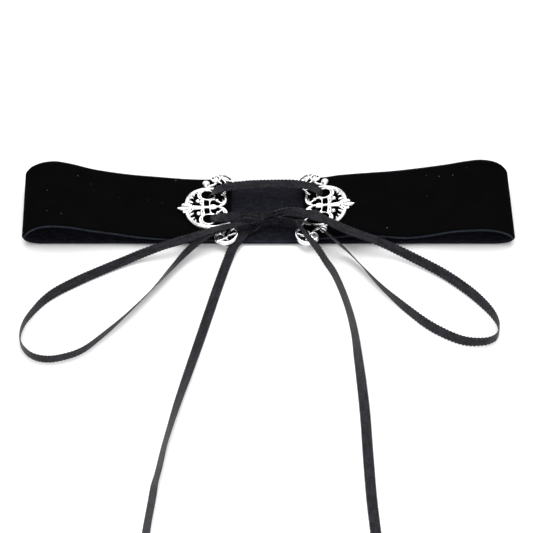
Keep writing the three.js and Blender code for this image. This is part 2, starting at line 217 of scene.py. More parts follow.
# Each half of the band's front layer, from its cut end to the nose of the fold and under to the back layer:
# reach as a share of the half length, then the heights at the near and the far edge as shares of the
# fold's height
FRONT_LAYER = {
    "left": {
        "skew": 0.006,
        "rows": [
            (0.15, 0.22, 0.18),
            (0.29, 0.23, 0.18),
            (0.42, 0.27, 0.22),
            (0.52, 0.36, 0.29),
            (0.62, 0.52, 0.41),
            (0.725, 0.68, 0.6),
            (0.815, 0.84, 0.85),
            (0.89, 0.88, 0.98),
            (0.945, 0.78, 0.94),
            (0.985, 0.55, 0.74),
            (1.0, 0.33, 0.46),
            (0.985, 0.14, 0.2),
            (0.94, 0.05, 0.05),
        ],
    },
    "right": {
        "skew": -0.003,
        "rows": [
            (0.15, 0.27, 0.21),
            (0.24, 0.33, 0.28),
            (0.3, 0.4, 0.38),
            (0.37, 0.49, 0.43),
            (0.43, 0.45, 0.45),
            (0.5, 0.38, 0.485),
            (0.57, 0.34, 0.56),
            (0.645, 0.43, 0.66),
            (0.75, 0.63, 0.82),
            (0.83, 0.69, 0.97),
            (0.9, 0.69, 1.05),
            (0.95, 0.6, 1.01),
            (0.985, 0.45, 0.82),
            (1.0, 0.28, 0.52),
            (0.985, 0.13, 0.22),
            (0.94, 0.05, 0.05),
        ],
    },
}

# Strokes of one half of an ornament in percent of the span: rows of (u, v, half width), u pointing away
# from the lace gap and v across the band. The last number of each entry is the stroke's height as a share.
HALF_STROKES = [
    # Rim of the D, led on towards the gap, and its three teeth
    ([(21.4, 4.8, 1.7), (20, 7.2, 2.2), (19.2, 10.2, 2.4), (18, 13.8, 2.4), (15.5, 18.2, 2.4),
      (12.2, 21.8, 2.4), (7.4, 24.6, 2.6), (2.4, 26.2, 2.4), (-2.6, 26.8, 1.8), (-8, 26.5, 1.2),
      (-14, 25.3, 1.1), (-18.6, 24.2, 1.1), (-22, 23.4, 0.6)], 1.0),
    ([(17.6, 9.6, 1.5), (15.2, 8.8, 1.3), (13, 7, 0.4)], 0.85),
    ([(16.4, 15.6, 1.4), (14.2, 14.8, 1.1), (12.4, 13.2, 0.4)], 0.85),
    ([(12.8, 20.6, 1.3), (12, 18.4, 1), (11.9, 16.2, 0.4)], 0.85),
    # Side petals of the palmette, a rib along them and a ridge on the rim
    ([(15.6, 2.4, 0.9), (18.6, 3.6, 1.3), (21.6, 4.9, 1.7), (24.6, 5.8, 0.9)], 0.9),
    ([(14.4, 3.2, 0.9), (16.6, 5, 1.3), (18.8, 7, 1.3)], 0.8),
    ([(15, 1.4, 0.5), (19, 2, 0.6), (23, 3.2, 0.8), (25.6, 3.6, 0.4)], 1.25),
    ([(9.4, 24.6, 0.5), (13.6, 20.8, 0.6), (16.6, 16, 0.6), (17.6, 11.6, 0.4)], 1.2),
    # Leaf beside the axis
    ([(3.4, 2, 0.7), (7, 1.7, 0.7), (11, 1.9, 0.7), (15, 2.9, 0.8)], 0.85),
    # Frame of the slot between the axis and the eyelet
    ([(3.2, 1.2, 1.1), (3.5, 4.8, 1), (3.2, 9.2, 1.2), (3.6, 11.6, 1)], 0.9),
    ([(-2.9, 1.2, 1), (-3, 5, 0.8), (-3, 9, 0.9), (-2.6, 11.4, 1)], 0.85),
    # Ball's stem and the curl under it
    ([(3.4, 9.4, 1.2), (5.8, 9, 1.3), (8.4, 8.9, 1.5)], 0.9),
    ([(3.8, 3.2, 0.9), (5.4, 4.4, 1), (6, 6.2, 0.9), (5, 7.6, 0.8)], 0.95),
    # Crescent behind the eyelet's ring, and the thorn on its other side
    ([(4.2, 10.5, 0.7), (7, 14.2, 1.2), (7.5, 18.6, 1.5), (5.6, 22.8, 1.3), (1.6, 25.4, 0.7)], 0.9),
    ([(-5.9, 12, 1.1), (-7.9, 13.4, 0.9), (-8.9, 16.8, 0.4)], 0.9),
    # Leaf curl on the gap side
    ([(-3, 6.4, 0.8), (-4.6, 9.6, 1), (-7.4, 10.8, 1), (-10.2, 9.7, 1.2), (-12.2, 7, 1.1),
      (-14.6, 5, 1.1), (-17.4, 5.6, 1.2)], 0.95),
    ([(-3.4, 2, 0.9), (-6.4, 2.5, 0.9), (-9, 1.6, 1)], 0.9),
    # C scroll on the gap side, its serif and inner line
    ([(-12, 1.2, 1.2), (-15.8, 2.6, 1.7), (-18.3, 6.4, 1.7), (-19, 11, 1.4), (-18.6, 15, 1.2),
      (-17.4, 18, 1.2), (-19.4, 21, 1), (-21.4, 23.2, 0.8)], 1.0),
    ([(-14.6, 16.9, 0.5), (-17.2, 17.5, 1.1), (-20.4, 19.4, 0.5)], 0.9),
    ([(-15.2, 5.4, 0.6), (-16.6, 8.4, 0.6), (-16.2, 11.6, 0.5)], 0.7),
    # Links from the rim to the roundel
    ([(-0.6, 29.6, 1.9), (-5, 31, 1.5), (-9.2, 32.8, 1.4), (-11.4, 35.4, 1.2)], 0.9),
    ([(-19.6, 23.8, 0.9), (-22.6, 25.2, 1.2), (-24, 27.8, 1.2), (-25.4, 30.4, 1.1)], 0.9),
    # Crescent of the roundel, ending in a hook
    ([(-6, 41.8, 0.5), (-8.2, 44.6, 1.5), (-11.6, 47.3, 2.1), (-16.2, 48.7, 2.5), (-20.6, 47.6, 2.3),
      (-24.3, 44.6, 1.9), (-26.8, 41, 1.5), (-27.7, 37.4, 1.3), (-27.4, 34, 1.3), (-26, 31.4, 1.4),
      (-24, 30.8, 1.4), (-22.6, 32.2, 1.3), (-22.4, 34.2, 0.9)], 1.05),
    # Leaf and spiral in the roundel
    ([(-11.4, 35, 1), (-11.6, 37.6, 2.6), (-11.2, 40.8, 3.4), (-10.4, 44, 3), (-9.4, 47.4, 1.8)], 0.6),
    ([(-8.6, 47.6, 1), (-6.4, 43.8, 1.3), (-6.8, 39.8, 1.4), (-9.8, 37, 1.4), (-13.4, 37.8, 1.3),
      (-15.2, 41, 1.2), (-13.6, 44.4, 1.1), (-10.8, 45, 1), (-9.4, 43, 0.8), (-10.2, 41.2, 0.6)], 1.05),
    # Leaves between the spiral and the crescent
    ([(-15.2, 42, 1), (-17, 43, 1.2), (-18, 45.6, 1), (-18, 47.8, 1)], 0.85),
    ([(-16.8, 43, 0.9), (-18.6, 39.4, 1.2), (-20, 36.2, 1), (-20.4, 33.2, 0.4)], 0.9),
    ([(-13.4, 37.8, 1.1), (-15.2, 35.2, 1), (-17, 33.2, 0.4)], 0.85),
    ([(-18.8, 39.6, 0.9), (-21.6, 38.6, 1.2), (-24.4, 37.4, 1.2), (-27.4, 36.4, 0.9)], 0.9),
]

# Strokes on the axis, from the tip of the palmette to the lace gap
AXIS_STROKES = [
    ([(29.6, 0, 0.3), (27.2, 0, 2), (24.6, 0, 3), (21.6, 0, 2), (18, 0, 1.1)], 0.95),
    ([(19, 0, 1.3), (14, 0, 1.8), (9, 0, 1.3), (4, 0, 1.8), (0, 0, 1.4), (-4, 0, 1.9), (-9, 0, 1.4),
      (-13.8, 0, 0.9)], 1.05),
]

# Bosses on the strokes in percent of the span: centre and radius, then the height as a share
ORNAMENT_BOSSES = [
    (8.6, 8.9, 2.3, 1.35),
    (-0.8, 33.4, 4, 1.8),
    (-10.4, 8.8, 1.9, 1.3),
]

# Routes of the free stretches: x, y, z and the roll in degrees that turns the left-hand edge up
LOOP_LEFT_ROUTE = [
    (-4.3, -7.7, 4.4, 8), (-8.2, -9.3, 4.6, 16), (-13.1, -11.7, 5.6, 18), (-18.4, -13.8, 5.7, 8),
    (-24, -15.7, 4.9, -4), (-29, -17.2, 4.2, -10), (-33.9, -19, 3.9, -8), (-38.2, -20.1, 2.9, -15),
    (-42.1, -21.3, 2, -18), (-46.1, -23.1, 1.4, -20), (-53.8, -27.4, 1.1, -26),
    (-61.3, -32.3, 1.3, -38), (-68.8, -38.1, 1.6, -58), (-72.4, -41.9, 1.7, -72),
    (-75.8, -47.2, 1.75, -84), (-78, -51.8, 1.75, -90), (-78.9, -56.6, 1.75, -92),
    (-78.4, -60.9, 1.75, -90), (-76.6, -64.1, 1.75, -90), (-74, -66.4, 1.75, -90),
    (-70.5, -67.5, 1.75, -90), (-66.7, -67.3, 1.75, -88), (-59.3, -64.3, 1.75, -86),
    (-52.1, -56.9, 1.75, -80), (-44.9, -47.7, 1.7, -67), (-37.6, -37, 1.6, -58),
    (-30.1, -25.3, 1.9, -34), (-26.3, -20.4, 2.8, -16), (-23, -17.7, 4.2, -10),
    (-19.1, -15.1, 5.2, -14), (-13.8, -11.8, 5.1, -22), (-8.5, -9, 4.3, -14), (-4.3, -8, 3.8, -5),
]
LOOP_RIGHT_ROUTE = [
    (3.3, -6, 5.7, 26), (7.5, -6.1, 6.8, 32), (12.5, -7.6, 7.5, 26), (16.8, -9.8, 7.9, 16),
    (20.7, -11.7, 7.6, 8), (25.7, -14.4, 7, 8), (30.6, -16.7, 6.6, 8), (34.5, -18.1, 6, 12),
    (38.5, -18.9, 4.6, 20), (42.5, -20.1, 3.2, 28), (50.3, -24.4, 2, 34), (57.9, -29.9, 1.6, 38),
    (65.2, -37.2, 1.6, 44), (68.8, -41.9, 1.75, 54), (72.3, -47.4, 1.75, 72), (73.9, -51.8, 1.75, 86),
    (73.9, -55.3, 1.75, 92), (72.8, -58.1, 1.75, 92), (70.4, -59.7, 1.75, 95), (67.5, -60.2, 1.75, 100),
    (63.7, -60, 1.75, 108), (60, -58.6, 1.7, 114), (52.6, -53.6, 1.65, 120), (45.3, -46.1, 1.65, 108),
    (37.9, -37, 1.7, 84), (34.2, -31.6, 1.7, 74), (30.4, -25.7, 1.9, 62), (26.9, -21.4, 2.8, 64),
    (23.3, -19, 5, 68), (19.7, -16, 6.3, 66), (16.4, -12.7, 6.3, 52), (12.5, -9.7, 5.6, 38),
    (7.5, -7, 3.9, 16), (3.3, -6.2, 3.2, 5),
]
TAIL_LEFT_ROUTE = [
    (-3.4, -8.6, 2.8, 0), (-5.2, -9.6, 2, 0), (-7.2, -10.8, 1.8, 0), (-9.5, -14.3, 1.7, 0),
    (-11.3, -17.4, 1.6, 0), (-13.1, -22.6, 0.7, 0), (-16.3, -35.2, 0.5, 0), (-19.2, -47.7, 0.4, 0),
    (-22, -59.9, 0.5, 8), (-24.8, -72, 0.8, 18), (-27.6, -84.1, 1.1, 33), (-30, -95.7, 1.4, 46),
    (-31.4, -102.9, 1.5, 50), (-32.8, -112.2, 1.4, 46), (-33.8, -117.4, 1.3, 42),
    (-34.3, -122.6, 1.2, 38), (-35.4, -132.7, 1.2, 38), (-35.9, -138.9, 1.2, 34),
]
TAIL_RIGHT_ROUTE = [
    (2.8, -7.6, 4.4, 40), (5.8, -8.2, 5, 104), (8.8, -9.5, 5.5, 104), (11, -12.5, 5.8, 96),
    (13, -16, 5.6, 90), (15.4, -18.9, 4.6, 82), (17.4, -21.2, 3.1, 76), (19.4, -24.4, 1.8, 73),
    (22, -29.9, 1.7, 68), (25.6, -42.6, 1.6, 64), (27.7, -54.7, 1.5, 54), (28.7, -66.5, 1.2, 38),
    (29.5, -77.9, 0.9, 24), (30.1, -89.2, 0.6, 12), (30.5, -105.8, 0.5, 6), (31, -121.9, 0.4, 4),
    (31.6, -132.3, 0.4, 0), (32, -138.5, 0.4, 0),
]

# Route of the held stretch: x, y, z, the heading of the ribbon's width in plan and the roll, in degrees
LACE_ROUTE = [
    (-4.3, -7.3, 5.6, 90, 26), (-8, -7.5, 6.1, 90, 36), (-12, -7.8, 6.1, 92, 36),
    (-15.2, -7.7, 5.7, 92, 22), (-17.2, -7.3, 5.2, 96, 2), (-18.3, -6.9, 4.4, 110, 0),
    (-18.7, -6.8, 3.2, 112, 0), (-18.9, -6.4, 2, 70, 0), (-19.5, -5, 1.4, 5, 0),
    (-19.9, -3, 1.35, 0, 0), (-20, 0, 1.35, 0, 0), (-19.8, 2.6, 1.4, 5, 0), (-19.6, 4.4, 2, 50, 0),
    (-19.4, 4.8, 3.2, 60, 0), (-19, 5, 4.4, 66, 0), (-17.5, 5.6, 5.3, 84, 4), (-14.8, 6.6, 5.7, 96, 10),
    (-11.5, 7.4, 5.8, 96, 13), (-6, 8.1, 6, 92, 15), (1, 8.2, 6.2, 90, 15), (8, 8, 6.4, 88, 15),
    (12, 7.2, 6.6, 84, 12), (15, 6.2, 6.5, 82, 8), (16.6, 5.5, 6.1, 76, 4), (17.5, 5.2, 5.3, 62, 0),
    (17.8, 5, 4, 58, 0), (18, 4.5, 2.9, 45, 0), (18.6, 3, 2.2, 5, 4), (19, 1, 2.15, 0, 6),
    (19, -1.5, 2.2, 0, 6), (18.8, -4, 2.3, 0, 6), (18.3, -5.6, 3, 60, 0), (18, -6.2, 4.2, 90, 0),
    (17.7, -6.5, 5.5, 90, 0), (16.4, -6.6, 6.4, 90, 10), (13, -6.7, 6.3, 90, 20),
    (8, -6.4, 5.6, 90, 28), (3.3, -6.2, 4.8, 90, 24),
]


# Curves


def centripetal_slopes(p0, p1, p2, p3):
    """Slopes at both ends of the span from p1 to p2 of a centripetal Catmull-Rom curve."""
    chords = [p1 - p0, p2 - p1, p3 - p2]
    before, along, after = [max(np.linalg.norm(chord), 1e-8) ** 0.5 for chord in chords]
    start = (chords[0] / before - (p2 - p0) / (before + along) + chords[1] / along) * along
    end = (chords[1] / along - (p3 - p1) / (along + after) + chords[2] / after) * along
    return start, end


def span_points(first, last, start, end, t):
    """Points of a cubic span between two points, with the slopes at its ends."""
    t = t[:, None]
    square = -3 * first + 3 * last - 2 * start - end
    cube = 2 * first - 2 * last + start + end
    return first + start * t + square * t**2 + cube * t**3


def place_span(ends, t):
    start, end = centripetal_slopes(*ends)
    return span_points(ends[1], ends[2], start, end, t)


def roll_span(ends, t):
    """Values that follow a curve's places, on slopes held low so that they don't overshoot."""
    start = ROLL_TENSION * (ends[2] - ends[0])
    end = ROLL_TENSION * (ends[3] - ends[1])
    return span_points(ends[1], ends[2], start, end, t)


def padded_rows(rows):
    """The rows with one more at each end, in line with the last two there."""
    return np.vstack([2 * rows[0] - rows[1], rows, 2 * rows[-1] - rows[-2]])


def smooth_rows(rows, step):
    """The rows of a table along one smooth curve, about a step apart. Three columns are the place."""
    rows = np.array(rows, float)
    padded = padded_rows(rows)
    parts = []
    for i in range(len(rows) - 1):
        ends = padded[i : i + 4]
        reach = np.linalg.norm(ends[2][:3] - ends[1][:3])
        count = max(2, round(reach / step))
        t = np.arange(count) / count
        parts.append(np.hstack([place_span(ends[:, :3], t), roll_span(ends[:, 3:], t)]))
    parts.append(rows[-1:])
    return np.vstack(parts)


def even_rows(rows, counts):
    """One smooth curve through the rows, with a set number of steps in each span."""
    rows = np.array(rows, float)
    padded = padded_rows(rows)
    parts = [place_span(padded[i : i + 4], np.arange(count) / count) for i, count in enumerate(counts)]
    return np.vstack([*parts, rows[-1:]])


def tangents(points):
    along = np.gradient(points, axis=0)
    return along / np.maximum(np.linalg.norm(along, axis=1, keepdims=True), 1e-9)


def lengths(points):
    """Distance along a line of points, from its start."""
    return np.concatenate([[0], np.cumsum(np.linalg.norm(np.diff(points, axis=0), axis=1))])


def smooth_between(value, start, end):
    """0 up to start, 1 from end on, and a smooth rise between them."""
    share = np.clip((value - start) / (end - start), 0, 1)
    return share * share * (3 - 2 * share)


# Meshes


def new_mesh(name, points, faces, materials, uvs=None, face_slots=None):
    """A smooth-shaded mesh object from points in millimetres."""
    mesh = bpy.data.meshes.new(name)
    mesh.from_pydata((np.asarray(points) * MM).tolist(), [], faces)
    for material in materials:
        mesh.materials.append(material)
    mesh.polygons.foreach_set("use_smooth", [True] * len(mesh.polygons))
    if face_slots is not None:
        mesh.polygons.foreach_set("material_index", face_slots)
    if uvs is not None:
        layer = mesh.uv_layers.new(name="UVMap")
        layer.data.foreach_set("uv", np.asarray(uvs, float).ravel())
    mesh.update()
    thing = bpy.data.objects.new(name, mesh)
    bpy.context.scene.collection.objects.link(thing)
    return thing


def sweep_faces(stations, around, closed=False):
    """Quads between the sections of a sweep, and its two end faces where it is open."""
    faces = []
    for i in range(stations if closed else stations - 1):
        a = i * around
        b = ((i + 1) % stations) * around
        for j in range(around):
            k = (j + 1) % around
            faces.append((a + j, a + k, b + k, b + j))
    if not closed:
        last = (stations - 1) * around
        faces.append(tuple(reversed(range(around))))
        faces.append(tuple(range(last, last + around)))
    return faces


def sweep_uvs(along, across):
    """UV corners of the faces of an open sweep: distance along, then distance around the section."""
    around = len(across)
    girth = across[-1] + (across[1] - across[0])
    corners = []
    for here, there in zip(along[:-1], along[1:]):
        for j in range(around):
            left = across[j]
            right = across[j + 1] if j + 1 < around else girth
            corners += [(here, left), (here, right), (there, right), (there, left)]
    corners += [(along[0], value) for value in reversed(across)]
    corners += [(along[-1], value) for value in across]
    return corners


def dress(piece, node):
    """Put a piece on the body in place of its CAD node, which is hidden."""
    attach(piece, "root")
    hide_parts(node)


# Materials


def shader_nodes(name, **sockets):
    """A new material, its node tree and its shader, with sockets of the shader set by name."""
    material = bpy.data.materials.new(name)
    material.use_nodes = True
    shader = material.node_tree.nodes["Principled BSDF"]
    for socket, value in sockets.items():
        shader.inputs[socket.replace("_", " ")].default_value = value
    return material, material.node_tree, shader


def add_node(tree, kind, inputs=None, **settings):
    """A node with its settings, whose inputs are linked from sockets or set to values."""
    made = tree.nodes.new(kind)
    for key, value in settings.items():
        setattr(made, key, value)
    for key, value in (inputs or {}).items():
        if isinstance(value, bpy.types.NodeSocket):
            tree.links.new(value, made.inputs[key])
        else:
            made.inputs[key].default_value = value
    return made


def math_result(tree, operation, *values):
    """The result of one math operation on sockets or numbers."""
    return add_node(tree, "ShaderNodeMath", dict(enumerate(values)), operation=operation).outputs[0]


def noise(tree, place, scale, detail=2.0):
    made = add_node(tree, "ShaderNodeTexNoise", {"Vector": place, "Scale": scale, "Detail": detail})
    return made.outputs["Fac"]


def color_between(tree, factor, dark, light):
    """A colour that runs from dark to light with the factor."""
    mix = add_node(tree, "ShaderNodeMix", {0: factor, 6: dark, 7: light}, data_type="RGBA")
    return mix.outputs[2]


def add_bump(tree, shader, height, strength, distance):
    bump = add_node(tree, "ShaderNodeBump", {"Height": height, "Strength": strength, "Distance": distance})
    tree.links.new(bump.outputs["Normal"], shader.inputs["Normal"])


def coordinates(tree, kind):
    return add_node(tree, "ShaderNodeTexCoord").outputs[kind]


def lint_specks(tree):
    """A factor for the velvet's lint: above 0 on a few small specks that lie on the pile."""
    place = {"Vector": coordinates(tree, "UV"), "Scale": LINT_CELL_SCALE}
    cells = add_node(tree, "ShaderNodeTexVoronoi", place, voronoi_dimensions="2D")
    split = add_node(tree, "ShaderNodeSeparateColor", {"Color": cells.outputs["Color"]})
    least, most = LINT_RADII
    span = {"Value": split.outputs["Green"], "To Min": least, "To Max": most}
    radius = add_node(tree, "ShaderNodeMapRange", span)
    near = math_result(tree, "LESS_THAN", cells.outputs["Distance"], radius.outputs["Result"])
    rare = math_result(tree, "GREATER_THAN", split.outputs["Red"], LINT_RARITY)
    return math_result(tree, "MULTIPLY", math_result(tree, "MULTIPLY", near, rare), LINT_STRENGTH)


def pile_material():
    """Black velvet: a matt pile with a faint sheen, uneven nap and a few specks of lint."""
    material, tree, shader = shader_nodes(
        "velvet_pile",
        Roughness=1.0,
        Sheen_Weight=0.015,
        Sheen_Roughness=0.3,
        Sheen_Tint=(0.6, 0.66, 0.85, 1),
        Specular_IOR_Level=0.0,
    )
    place = coordinates(tree, "Object")
    black = color_between(tree, noise(tree, place, NAP_SCALE, 5.0), *PILE_COLORS)
    color = color_between(tree, lint_specks(tree), black, LINT_COLOR)
    tree.links.new(color, shader.inputs["Base Color"])
    add_bump(tree, shader, noise(tree, place, HAIR_SCALE, 3.0), 0.5, 0.00012)
    return material


def woven_height(tree, uv, rib_pitch):
    """Height of a weave: ribs across the length, and lower warp threads along it."""
    split = add_node(tree, "ShaderNodeSeparateXYZ", {"Vector": uv})
    rib_turns = math_result(tree, "MULTIPLY", split.outputs["X"], 2 * math.pi / rib_pitch)
    warp_turns = math_result(tree, "MULTIPLY", split.outputs["Y"], 2 * math.pi / (WARP_PITCH * rib_pitch))
    rib = math_result(tree, "SINE", rib_turns)
    warp = math_result(tree, "SINE", warp_turns)
    return math_result(tree, "MULTIPLY_ADD", warp, WARP_RELIEF, rib)


def woven_material(name):
    """Woven fabric with ribs across its length and uneven threads; the UV map is in millimetres."""
    fabric = FABRICS[name]
    material, tree, shader = shader_nodes(
        name, Roughness=fabric["roughness"], Specular_IOR_Level=fabric["specular"]
    )
    uv = coordinates(tree, "UV")
    long_threads = add_node(tree, "ShaderNodeMapping", {"Vector": uv, "Scale": THREAD_STRETCH})
    streak = noise(tree, long_threads.outputs[0], 1.0, 6.0)
    grain = noise(tree, uv, GRAIN_SCALE, 5.0)
    both = math_result(tree, "ADD", streak, grain)
    least, most = THREAD_SPREAD
    spread = add_node(tree, "ShaderNodeMapRange", {"Value": both, "From Min": least, "From Max": most})
    tone = color_between(tree, spread.outputs["Result"], *fabric["colors"])
    tree.links.new(tone, shader.inputs["Base Color"])
    weave = woven_height(tree, uv, fabric["rib_pitch"])
    surface = math_result(tree, "MULTIPLY_ADD", grain, fabric["lumps"], weave)
    add_bump(tree, shader, surface, fabric["relief"], 0.0001)
    return material


def silver_material():
    """Polished casting: bright on the relief, with shade painted into its colour where the height attribute
    is low.
    """
    material, tree, shader = shader_nodes("silver_casting", Metallic=1.0)
    height = add_node(tree, "ShaderNodeAttribute", attribute_name="relief", attribute_type="GEOMETRY")
    # The ramp paints shade into the valleys between strokes, running from dark at low relief up to the
    # silver's own colour.
    ramp = add_node(tree, "ShaderNodeValToRGB", {"Fac": height.outputs["Fac"]})
    for stop, look in zip(ramp.color_ramp.elements, (PAINTED_VALLEY_SHADE, BRIGHT)):
        stop.position = look["height"]
        stop.color = look["color"]
    tree.links.new(ramp.outputs["Color"], shader.inputs["Base Color"])
    wear = noise(tree, coordinates(tree, "Object"), WEAR_SCALE, 4.0)
    least, most = WEAR_ROUGHNESS
    rough = add_node(tree, "ShaderNodeMapRange", {"Value": wear, "To Min": least, "To Max": most})
    tree.links.new(rough.outputs["Result"], shader.inputs["Roughness"])
    add_bump(tree, shader, wear, 0.12, 0.0001)
    return material


PILE = pile_material()
VELVET_BACK = woven_material("velvet_back")
SELVEDGE = woven_material("velvet_selvedge")
SATIN = woven_material("ribbon_satin")
SILVER = silver_material()


# Camera


def set_camera():
    camera = bpy.data.cameras.new("camera")
    camera.sensor_width = SENSOR_WIDTH
    camera.lens = CAMERA_LENS
    camera.clip_start, camera.clip_end = CAMERA_CLIP
    thing = bpy.data.objects.new("camera", camera)
    bpy.context.scene.collection.objects.link(thing)
    x, y, z = CAMERA_TARGET
    thing.location = (
        x * MM,
        (y - CAMERA_DISTANCE * math.cos(CAMERA_ELEVATION)) * MM,
        (z + CAMERA_DISTANCE * math.sin(CAMERA_ELEVATION)) * MM,
    )
    thing.rotation_euler = (math.pi / 2 - CAMERA_ELEVATION, 0, 0)
    bpy.context.scene.camera = thing


# Ribbon


def waves(gathers, shares, pinch, phase):
    """Height of the pleats or creases across a gathered ribbon."""
    depth = gathers["depth"] * pinch[:, None] ** gathers["fading"]
    return depth * np.cos(gathers["count"] * math.pi * shares[None, :] + phase)


def width_directions(along, heading, roll):
    """Unit vectors across the ribbon, square to its course."""
    width = np.stack(
        [np.cos(heading) * np.cos(roll), np.sin(heading) * np.cos(roll), np.sin(roll)],
        axis=1,
    )
    width -= along * np.sum(width * along, axis=1, keepdims=True)
    return width / np.linalg.norm(width, axis=1, keepdims=True)


def ribbon_rings(points, heading, roll, pinch):
    """Sections of a flat strip with slightly serrated edges, gathered into pleats where pinch is above 0."""
    along = tangents(points)
    width = width_directions(along, heading, roll)
    normal = np.cross(along, width)
    distance = lengths(points)
    shares = np.linspace(-1, 1, RIBBON_COLUMNS)
    half = (RIBBON_WIDTH / 2) * (1 - GATHER_NARROWING * pinch**3)
    sideways = half[:, None] * shares[None, :]
    picot = PICOT_DEPTH * np.sin(2 * math.pi * distance / PICOT_PITCH)
    sideways[:, 0] -= picot
    sideways[:, -1] += picot
    wander = GATHER_WANDER * np.sin(distance / GATHER_WANDER_LENGTH)[:, None]
    lift = RIBBON_CUP * shares[None, :] ** 2
    lift = lift + waves(PLEATS, shares, pinch, wander) + waves(CREASES, shares, pinch, 2 * wander)
    aside = sideways[:, :, None] * width[:, None, :]
    middle = points[:, None, :] + aside + lift[:, :, None] * normal[:, None, :]
    thin = np.full(RIBBON_COLUMNS, RIBBON_THICKNESS / 2)
    thin[[0, -1]] *= EDGE_THINNING
    skin = thin[None, :, None] * normal[:, None, :]
    rings = np.concatenate([middle - skin, (middle + skin)[:, ::-1]], axis=1)
    rings[..., 2] = np.maximum(rings[..., 2], RIBBON_FLOOR)
    return rings


def ribbon(name, points, heading, roll, pinch):
    rings = ribbon_rings(points, heading, roll, pinch)
    stations, around = rings.shape[:2]
    under = np.linspace(0, RIBBON_WIDTH, RIBBON_COLUMNS)
    across = np.concatenate([under, RIBBON_WIDTH + under])
    return new_mesh(
        name,
        rings.reshape(-1, 3),
        sweep_faces(stations, around),
        [SATIN],
        uvs=sweep_uvs(lengths(points), across),
    )


def gathering(points, at_start, at_end):
    """How much the ribbon is gathered: 1 in the knot, falling to 0 away from it."""
    distance = lengths(points)
    amount = np.zeros(len(points))
    if at_start:
        amount = np.maximum(amount, 1 - smooth_between(distance, 0, GATHER_REACH))
    if at_end:
        amount = np.maximum(amount, 1 - smooth_between(distance[-1] - distance, 0, GATHER_REACH))
    return amount


def inside_knot(row):
    """The row of a route led on to just past the middle of the knot."""
    centre = np.array(KNOT_PLACE)
    return (*(centre - KNOT_OVERRUN * (np.array(row[:3]) - centre)), *row[3:])


def free_ribbon(name, route, node, far_end):
    """A free stretch of the ribbon, from the knot and, where it returns, back into it."""
    returns = far_end == "object"
    route = [inside_knot(route[0]), *route]
    if returns:
        route = [*route, inside_knot(route[-1])]
    rows = smooth_rows(route, RIBBON_STEP)
    points = rows[:, :3]
    along = tangents(points)
    heading = np.arctan2(along[:, 1], along[:, 0]) + math.pi / 2
    made = ribbon(name, points, heading, np.radians(rows[:, 3]), gathering(points, True, returns))
    dress(made, node)


def held_ribbon():
    """The stretch that the eyelets hold, from the knot round both ornaments and back."""
    route = [inside_knot(LACE_ROUTE[0]), *LACE_ROUTE, inside_knot(LACE_ROUTE[-1])]
    rows = smooth_rows(route, RIBBON_STEP)
    points = rows[:, :3]
    heading = np.radians(rows[:, 3])
    roll = np.radians(rows[:, 4])
    made = ribbon("lace_ribbon", points, heading, roll, gathering(points, True, True))
    dress(made, "lace")


def knot():
    """The turn of ribbon that holds the bow: a gathered strip wound slantwise round the crossing strands."""
    angle = np.linspace(*KNOT_TURN, KNOT_STEPS)
    x, y, z = KNOT_PLACE
    deep, high = KNOT_RADII
    advance = KNOT_ADVANCE * (angle / math.pi - 0.5)
    points = np.stack(
        [
            x + KNOT_SLANT * deep * np.cos(angle) + advance,
            y + deep * np.cos(angle),
            z + high * np.sin(angle),
        ],
        axis=1,
    )
    along = tangents(points)
    width = np.array([1.0, -KNOT_SLANT, 0.0])
    width = width - along * (along @ width)[:, None]
    width /= np.linalg.norm(width, axis=1, keepdims=True)
    outward = np.cross(width, along)
    shares = np.linspace(-1, 1, KNOT_COLUMNS)
    lift = KNOT_PLEAT_DEPTH * np.cos(KNOT_PLEAT_COUNT * math.pi * shares) - KNOT_ROUNDING * shares**2
    sideways = KNOT_HALF_WIDTH * shares[None, :, None] * width[:, None]
    middle = points[:, None] + sideways + lift[None, :, None] * outward[:, None]
    skin = (RIBBON_THICKNESS / 2) * outward[:, None]
    rings = np.concatenate([middle + skin, (middle - skin)[:, ::-1]], axis=1)
    across = np.arange(2 * KNOT_COLUMNS) * RIBBON_WIDTH / (KNOT_COLUMNS - 1)
    made = new_mesh(
        "knot_wrap",
        rings.reshape(-1, 3),
        sweep_faces(KNOT_STEPS, 2 * KNOT_COLUMNS),
        [SATIN],
        uvs=sweep_uvs(lengths(points), across),
    )
    dress(made, "bow_knot")


# Velvet band

BAND_MATERIALS = [PILE, VELVET_BACK, SELVEDGE]
PILE_SLOT, BACK_SLOT, SELVEDGE_SLOT = range(3)


def half_band(side, across):
    """Middle line of one half, in the XZ plane, at share across of the half width."""
    layer = FRONT_LAYER[side]
    direction = -1 if side == "left" else 1
    stretch = HALF_LENGTH * (1 + layer["skew"] * across)
    rows = []
    for i, (reach, near, far) in enumerate(layer["rows"]):
        distance = LACE_GAP / 2 if i == 0 else reach * stretch
        height = (near + (far - near) * (across + 1) / 2) * FOLD_HEIGHT
        rows.append((direction * distance, 0, height))
    return rows


def span_counts(rows):
    """How many steps, each about BAND_STEP long, go into each span of the rows."""
    reaches = np.linalg.norm(np.diff(np.array(rows), axis=0), axis=1)
    return [max(3, round(reach / BAND_STEP)) for reach in reaches]


def band_line(across, counts):
    """Middle line of the whole band at a share across, round both folds."""
    halves = []
    for side in ("left", "right"):
        line = even_rows(half_band(side, across), counts[side])
        line[:, 2] = np.maximum(line[:, 2], BAND_THICKNESS / 2)
        halves.append(line)
    left = halves[0]
    right = halves[1][::-1]
    back = np.linspace(left[-1], right[0], BACK_STEPS)[1:-1]
    return np.vstack([left, back, right])


